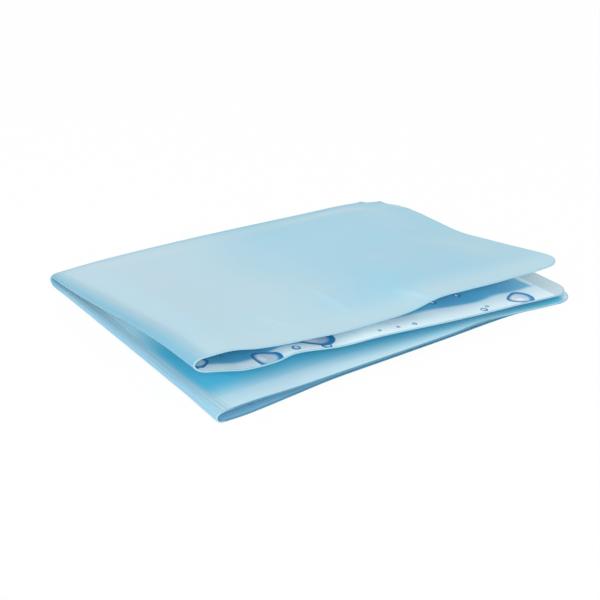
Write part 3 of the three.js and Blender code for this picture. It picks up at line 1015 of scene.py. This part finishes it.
@dataclass
class Shell:
    """A closed piece of film or gel over a rectangle of the flat mat.

    Its two faces stand at offsets from the middle of the laminate, positive to the printed side.
    """

    fold: FoldMap
    name: str
    across: np.ndarray
    along: np.ndarray
    faces: tuple[Offset, Offset]
    rim_radius: float = 0.0
    rounded_faces: int = 1
    rim_segments: int = 3
    rim_angle: float = 0.7
    smooth_angle: float = math.radians(38)

    def place(self, verts: list[bmesh.types.BMVert], keys: list, offset: Offset) -> None:
        """Moves one face's vertices from the flat mat to the folded one.

        Args:
            verts: The vertices.
            keys: The vertex layers that hold their places across and along.
            offset: The face's offset.
        """
        p, q = np.array([[v[keys[0]], v[keys[1]]] for v in verts]).T
        made = self.fold.point(p, q) + self.fold.normal(p, q) * offset(p, q)[:, None]
        for vert, place in zip(verts, made):
            vert.co = place

    def build(self, *materials: bpy.types.Material) -> bpy.types.Object:
        """Makes the piece.

        Args:
            *materials: Its material, and a second one where the first face has its own.

        Returns:
            The piece, as an object at the origin.
        """
        bm = bmesh.new()
        columns, rows = len(self.across), len(self.along)
        bmesh.ops.create_grid(bm, x_segments=columns - 1, y_segments=rows - 1, size=GRID_HALF)
        keys = [bm.verts.layers.float.new(name) for name in ("p", "q", "rim", BORDER)]
        corners = np.array([v.co for v in bm.verts])
        i = np.rint((corners[:, 0] + GRID_HALF) * (columns - 1)).astype(int)
        j = np.rint((corners[:, 1] + GRID_HALF) * (rows - 1)).astype(int)
        p, q = self.across[i], self.along[j]
        sizes = self.fold.sizes
        side_edge, front_edge = sizes.half_width - EDGE_TOLERANCE, sizes.reach(q) - EDGE_TOLERANCE
        free = (np.abs(p) > side_edge) | (np.abs(q) > front_edge)
        p, q = sizes.rounded(p, q)
        table = np.stack([p, q, free, sizes.border(p, q)], axis=1)
        for vert, values in zip(bm.verts, table):
            for key, value in zip(keys, values):
                vert[key] = value
        near = list(bm.verts)
        grown = bmesh.ops.extrude_face_region(bm, geom=list(bm.faces))
        far = [g for g in grown["geom"] if isinstance(g, bmesh.types.BMVert)]
        for verts, offset in zip((near, far), self.faces):
            self.place(verts, keys, offset)
        bmesh.ops.recalc_face_normals(bm, faces=list(bm.faces))
        first = set(near)
        for face in bm.faces:
            face.material_index = int(len(materials) > 1 and all(v in first for v in face.verts))
        if self.rim_radius:
            sides = (first, set(far))[:self.rounded_faces]
            rim = [e for e in bm.edges if e.calc_face_angle(0) > self.rim_angle and any(
                all(v in side and v[keys[2]] > 0.5 for v in e.verts) for side in sides)]
            bmesh.ops.bevel(bm, geom=rim, offset=self.rim_radius, offset_type="OFFSET", affect="EDGES",
                            segments=self.rim_segments, profile=0.5, material=-1)
        return self.finish(bm, materials)

    def finish(self, bm: bmesh.types.BMesh, materials: tuple[bpy.types.Material, ...]) -> bpy.types.Object:
        """Turns the bmesh to an object with its flat map and its materials.

        Args:
            bm: The finished bmesh.
            materials: The materials of its faces.

        Returns:
            The object.
        """
        if any(not edge.is_manifold for edge in bm.edges):
            raise ValueError(f"{self.name} isn't closed")
        mesh = bpy.data.meshes.new(self.name)
        bm.to_mesh(mesh)
        bm.free()
        flat = np.empty((len(mesh.vertices), 2), np.float32)
        for column, name in enumerate("pq"):
            values = np.empty(len(mesh.vertices), np.float32)
            mesh.attributes[name].data.foreach_get("value", values)
            flat[:, column] = values
        corners = np.empty(len(mesh.loops), np.int32)
        mesh.loops.foreach_get("vertex_index", corners)
        mesh.uv_layers.new(name=FLAT_UV).data.foreach_set("uv", flat[corners].ravel())
        for name in ("p", "q", "rim"):
            mesh.attributes.remove(mesh.attributes[name])
        mesh.shade_smooth()
        mesh.set_sharp_from_angle(angle=self.smooth_angle)
        for material in materials:
            mesh.materials.append(material)
        piece = bpy.data.objects.new(self.name, mesh)
        bpy.context.scene.collection.objects.link(piece)
        log.info("%s: %d faces", self.name, len(mesh.polygons))
        return piece


@dataclass
class Finishes:
    """The mat's materials."""

    film: bpy.types.Material
    printed: bpy.types.Material
    gel: bpy.types.Material

    @classmethod
    def build(cls) -> "Finishes":
        """Makes all of them.

        Returns:
            The materials.
        """
        return cls(FilmFinish().build(), PrintFinish().build(), GelFinish().build())


@dataclass(frozen=True)
class Laminate:
    """Where the faces of the two films stand over the flat mat, from the middle of the laminate."""

    sizes: MatSizes
    crest_thinning: float = 0.56
    crest_reach: float = 0.0018
    crest_end: float = 0.195
    crest_fade: float = 0.015
    least_gel: float = 0.0001
    wrinkles: tuple[Ridge, ...] = (
        Ridge((0.0855, 0.091), (0.0875, 0.131), 0.00085, 0.0022),
        Ridge((0.0465, 0.113), (0.056, 0.130), 0.00045, 0.0020),
        Ridge((0.1150, 0.116), (0.1235, 0.141), 0.00075, 0.0021),
        Ridge((0.1720, 0.050), (0.1920, 0.083), 0.00060, 0.0028),
        Ridge((0.1850, -0.006), (0.1880, 0.018), 0.00060, 0.0022),
        Ridge((0.1900, 0.016), (0.2010, 0.030), 0.00060, 0.0024),
    )

    def half(self, p: np.ndarray, q: np.ndarray) -> np.ndarray:
        """Half of the laminate's thickness, which the sharp outer back fold presses thinner.

        Args:
            p: Places across the mat.
            q: Places along it.

        Returns:
            The half thicknesses.
        """
        s = self.sizes
        crest = ease(p / s.strip_half) * ease((self.crest_end - p) / self.crest_fade)
        crest = crest * (1 - ease(np.abs(q) / self.crest_reach))
        even = mix(s.pressed_thickness / 2, s.cell_thickness / 2, s.fill(p, q))
        return even * (1 - self.crest_thinning * crest)

    def printed_outside(self, p: np.ndarray, q: np.ndarray) -> np.ndarray:
        """Printed face."""
        return self.half(p, q)

    def printed_inside(self, p: np.ndarray, q: np.ndarray) -> np.ndarray:
        """Inner side of the printed film."""
        return self.half(p, q) - self.sizes.film_thickness

    def plain_outside(self, p: np.ndarray, q: np.ndarray) -> np.ndarray:
        """Plain face, with its wrinkles."""
        return -self.half(p, q) - sum(ridge.height_at(p, q) for ridge in self.wrinkles)

    def plain_inside(self, p: np.ndarray, q: np.ndarray) -> np.ndarray:
        """Inner side of the plain film."""
        return self.sizes.film_thickness - self.half(p, q)

    def gel_face(self, p: np.ndarray, q: np.ndarray) -> np.ndarray:
        """Face of the gel that looks to the printed side."""
        return np.maximum(self.printed_inside(p, q) - self.sizes.gel_clearance, self.least_gel)

    def gel_back(self, p: np.ndarray, q: np.ndarray) -> np.ndarray:
        """Face of the gel that looks to the plain side."""
        return -self.gel_face(p, q)


@dataclass
class Quarter:
    """One quarter of the mat: a plain film, a printed film and the gel pad between them."""

    fold: FoldMap
    laminate: Laminate
    name: str
    across_sign: int
    along_sign: int
    margin: float = 0.004

    @property
    def body(self) -> str:
        """The body that it rides on."""
        return f"{self.name}_quarter"

    def spans(self, inset: float = 0.0) -> tuple[np.ndarray, np.ndarray]:
        """Grid places across and along the quarter.

        Args:
            inset: How far the grid stays clear of the strips and of the welded border.

        Returns:
            The places across and along, both rising.
        """
        s = self.fold.sizes
        reach = s.lower_reach if self.along_sign < 0 else s.upper_reach
        border = s.weld_border if inset else 0.0
        made = []
        for sign, far in ((self.across_sign, s.half_width), (self.along_sign, reach)):
            places = stops(s.strip_half + inset, far - border - inset, self.margin)
            made.append(places if sign > 0 else -places[::-1])
        return made[0], made[1]

    def add_film(self, side: Side, material: bpy.types.Material) -> None:
        """Makes one of the two films.

        Args:
            side: Which film.
            material: Its material.
        """
        across, along = self.spans()
        faces = ((self.laminate.printed_outside, self.laminate.printed_inside) if side is Side.PRINTED
                 else (self.laminate.plain_outside, self.laminate.plain_inside))
        film = Shell(self.fold, f"{self.name}_{side.value}_panel", across, along, faces,
                     rim_radius=self.fold.sizes.rim_radius).build(material)
        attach(film, self.body)
        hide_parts(f"{self.name}_{side.value}_film")

    def add_gel(self, material: bpy.types.Material) -> None:
        """Makes the gel pad between the films.

        Args:
            material: Its material.
        """
        across, along = self.spans(self.fold.sizes.gel_inset)
        pad = Shell(self.fold, f"{self.name}_gel", across, along,
                    (self.laminate.gel_face, self.laminate.gel_back)).build(material)
        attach(pad, self.body)
        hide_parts(f"{self.name}_gel_pad")

    def build(self, finishes: Finishes) -> None:
        """Makes the quarter's three pieces.

        Args:
            finishes: The mat's materials.
        """
        self.add_film(Side.BACK, finishes.film)
        self.add_film(Side.PRINTED, finishes.printed)
        self.add_gel(finishes.gel)


@dataclass
class CreaseStrip:
    """A strip at a crease, where the two films are welded into one and bend.

    A strip between two bodies is given the two places where it would start and stop to bend, but
    it is only fixed where it is made.
    """

    fold: FoldMap
    laminate: Laminate
    name: str
    node: str
    across: np.ndarray
    along: np.ndarray
    bodies: tuple[str, ...]
    bend_start: Vector | None = None
    bend_end: Vector | None = None

    def build(self, finishes: Finishes) -> None:
        """Makes the strip and lets it ride on its body, or, between two bodies, fixes it where it is made.

        Args:
            finishes: The mat's materials.
        """
        strip = Shell(
            self.fold, self.name, self.across, self.along,
            (self.laminate.printed_outside, self.laminate.plain_outside),
            rim_radius=self.fold.sizes.rim_radius, rounded_faces=2,
        ).build(finishes.film, finishes.printed)
        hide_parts(self.node)
        if self.bend_start is None:
            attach(strip, self.bodies[0])
        else:
            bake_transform(strip)


@dataclass
class GelMat:
    """The whole mat: four quarters and the strips at its creases.

    A bend is where a strip would start and stop to turn as its fold opens; the strips here do not
    turn. The lower and back bends are heights over the table, and the upper one is heights over its
    middle, along a slanting rise.
    """

    fold: FoldMap
    end_margin: float = 0.006
    bend_steps: int = 36
    lower_bend: tuple[float, float] = (0.0011, 0.0031)
    back_bend: tuple[float, float] = (0.0038, 0.0054)
    upper_bend: tuple[float, float] = (-0.0009, 0.0009)
    upper_middle: Vector = Vector((-0.099965, 0.070959, 0.00707))
    upper_rise: float = math.radians(6.126)

    def build(self) -> None:
        """Makes every piece of the mat."""
        finishes = Finishes.build()
        s = self.fold.sizes
        laminate = Laminate(s)
        for name, across, along in (
                ("bottom", 1, -1), ("lower_inner", -1, -1), ("upper_inner", -1, 1), ("top", 1, 1)):
            Quarter(self.fold, laminate, name, across, along).build(finishes)
        bend = np.linspace(-s.strip_half, s.strip_half, self.bend_steps + 1)
        first, second = np.split(bend, [self.bend_steps // 2])
        first = np.append(first, second[0])
        side = stops(s.strip_half, s.half_width, self.end_margin)
        lower = -stops(0.0, s.lower_reach, self.end_margin)[::-1]
        upper = stops(0.0, s.upper_reach, self.end_margin)
        x, y, _ = self.fold.origin
        up = Vector((0.0, math.sin(self.upper_rise), math.cos(self.upper_rise)))
        strips = (
            CreaseStrip(self.fold, laminate, "lower_side_crease", "lower_side_strip", bend, lower,
                        ("lower_inner_quarter", "bottom_quarter"),
                        Vector((x, y, self.lower_bend[1])), Vector((x, y, self.lower_bend[0]))),
            CreaseStrip(self.fold, laminate, "upper_side_crease", "upper_side_strip", bend, upper,
                        ("upper_inner_quarter", "top_quarter"),
                        self.upper_middle + up * self.upper_bend[0],
                        self.upper_middle + up * self.upper_bend[1]),
            CreaseStrip(self.fold, laminate, "inner_back_crease", "inner_back_strip", -side[::-1], bend,
                        ("lower_inner_quarter", "upper_inner_quarter"),
                        Vector((x, y, self.back_bend[0])), Vector((x, y, self.back_bend[1]))),
            CreaseStrip(self.fold, laminate, "outer_back_crease_bottom", "outer_back_strip_bottom",
                        side, first, ("bottom_quarter",)),
            CreaseStrip(self.fold, laminate, "outer_back_crease_top", "outer_back_strip_top",
                        side, second, ("top_quarter",)),
        )
        for strip in strips:
            strip.build(finishes)


@dataclass(frozen=True)
class Lamp:
    """A square soft light that looks at the mat, with its side in metres and its power in watts."""

    name: str
    place: tuple[float, float, float]
    side: float
    power: float

    def build(self) -> None:
        """Hangs the light."""
        data = bpy.data.lights.new(self.name, "AREA")
        data.size = self.side
        data.energy = self.power
        light = bpy.data.objects.new(self.name, data)
        bpy.context.scene.collection.objects.link(light)
        light.location = self.place
        light.rotation_mode = "QUATERNION"
        light.rotation_quaternion = Vector(self.place).to_track_quat("Z", "Y")


@dataclass
class Studio:
    """White table, soft light and the camera."""

    target: Vector = Vector((-0.00669, -0.00104, 0.0))
    azimuth: float = math.radians(-35.9)
    elevation: float = math.radians(25.7)
    roll: float = math.radians(1.3)
    distance: float = 0.5868
    lens: float = 75.0
    sensor: float = 36.0
    table_half: float = 4.0
    table_drop: float = 0.0001
    table_colour: str = "#F4F5F6"
    table_even: Values = (("Roughness", 0.8), ("Specular IOR Level", 0.0))
    table_clearness: float = 0.96
    world_light: float = 0.72
    lamps: tuple[Lamp, ...] = (
        Lamp("top", (-0.5, 0.5, 1.2), 1.0, 1.5),
        Lamp("front", (-0.58, -1.19, 0.59), 0.6, 11.0),
        Lamp("left", (-1.25, -0.20, 0.45), 0.5, 2.6),
    )

    def add_camera(self) -> None:
        """Sets the camera at the photograph's viewing angle."""
        data = bpy.data.cameras.new("camera")
        data.lens = self.lens
        data.sensor_width = self.sensor
        camera = bpy.data.objects.new("camera", data)
        bpy.context.scene.collection.objects.link(camera)
        back = Vector((math.sin(self.azimuth) * math.cos(self.elevation),
                       -math.cos(self.azimuth) * math.cos(self.elevation), math.sin(self.elevation)))
        camera.location = self.target + back * self.distance
        camera.rotation_mode = "QUATERNION"
        camera.rotation_quaternion = Quaternion(back, self.roll) @ (-back).to_track_quat("-Z", "Y")
        bpy.context.scene.camera = camera

    def add_floor(self) -> None:
        """Adds the table top: matt white, clear to the camera but for the mat's shadow, and one-sided."""
        material, tree, shader = new_material("white_table", self.table_even)
        bm = bmesh.new()
        bmesh.ops.create_grid(bm, x_segments=1, y_segments=1, size=self.table_half)
        bmesh.ops.translate(bm, verts=list(bm.verts), vec=(0, 0, -self.table_drop))
        mesh = bpy.data.meshes.new("table")
        bm.to_mesh(mesh)
        bm.free()
        mesh.materials.append(material)
        floor = bpy.data.objects.new("table", mesh)
        bpy.context.scene.collection.objects.link(floor)
        shader.inputs["Base Color"].default_value = linear(self.table_colour)
        rays = add_node(tree, "ShaderNodeLightPath").outputs
        seen = rays["Is Camera Ray"]
        for kind in ("Is Glossy Ray", "Is Transmission Ray"):
            seen = add_node(tree, "ShaderNodeMath", {0: seen, 1: rays[kind]}, operation="MAXIMUM").outputs[0]
        share = add_node(tree, "ShaderNodeMath", {
            0: seen, 1: self.table_clearness}, operation="MULTIPLY").outputs[0]
        below = add_node(tree, "ShaderNodeNewGeometry").outputs["Backfacing"]
        share = add_node(tree, "ShaderNodeMath", {0: share, 1: below}, operation="MAXIMUM").outputs[0]
        clear = add_node(tree, "ShaderNodeBsdfTransparent", {"Color": linear(WHITE)}).outputs[0]
        mixed = add_node(tree, "ShaderNodeMixShader", {0: share, 1: shader.outputs[0], 2: clear})
        tree.links.new(mixed.outputs[0], tree.nodes["Material Output"].inputs["Surface"])

    def add_world(self) -> None:
        """Adds an even surrounding, white where it is seen and dimmer as a light."""
        world = bpy.data.worlds.new("studio")
        bpy.context.scene.world = world
        world.use_nodes = True
        tree = world.node_tree
        rays = add_node(tree, "ShaderNodeLightPath").outputs
        seen = add_node(tree, "ShaderNodeMath", {
            0: rays["Is Camera Ray"], 1: rays["Is Glossy Ray"]}, operation="MAXIMUM").outputs[0]
        strength = add_node(tree, "ShaderNodeMapRange", {"Value": seen, "To Min": self.world_light})
        background = tree.nodes["Background"]
        background.inputs["Color"].default_value = linear(WHITE)
        tree.links.new(strength.outputs["Result"], background.inputs["Strength"])

    def build(self) -> None:
        """Makes the studio."""
        bpy.context.scene.view_settings.view_transform = "Standard"
        self.add_world()
        self.add_floor()
        for lamp in self.lamps:
            lamp.build()
        self.add_camera()


def main() -> None:
    """Builds the mat and its studio."""
    logging.basicConfig(level=logging.INFO)
    Studio().build()
    GelMat(FoldMap(MatSizes())).build()


if __name__ == "__main__":
    main()
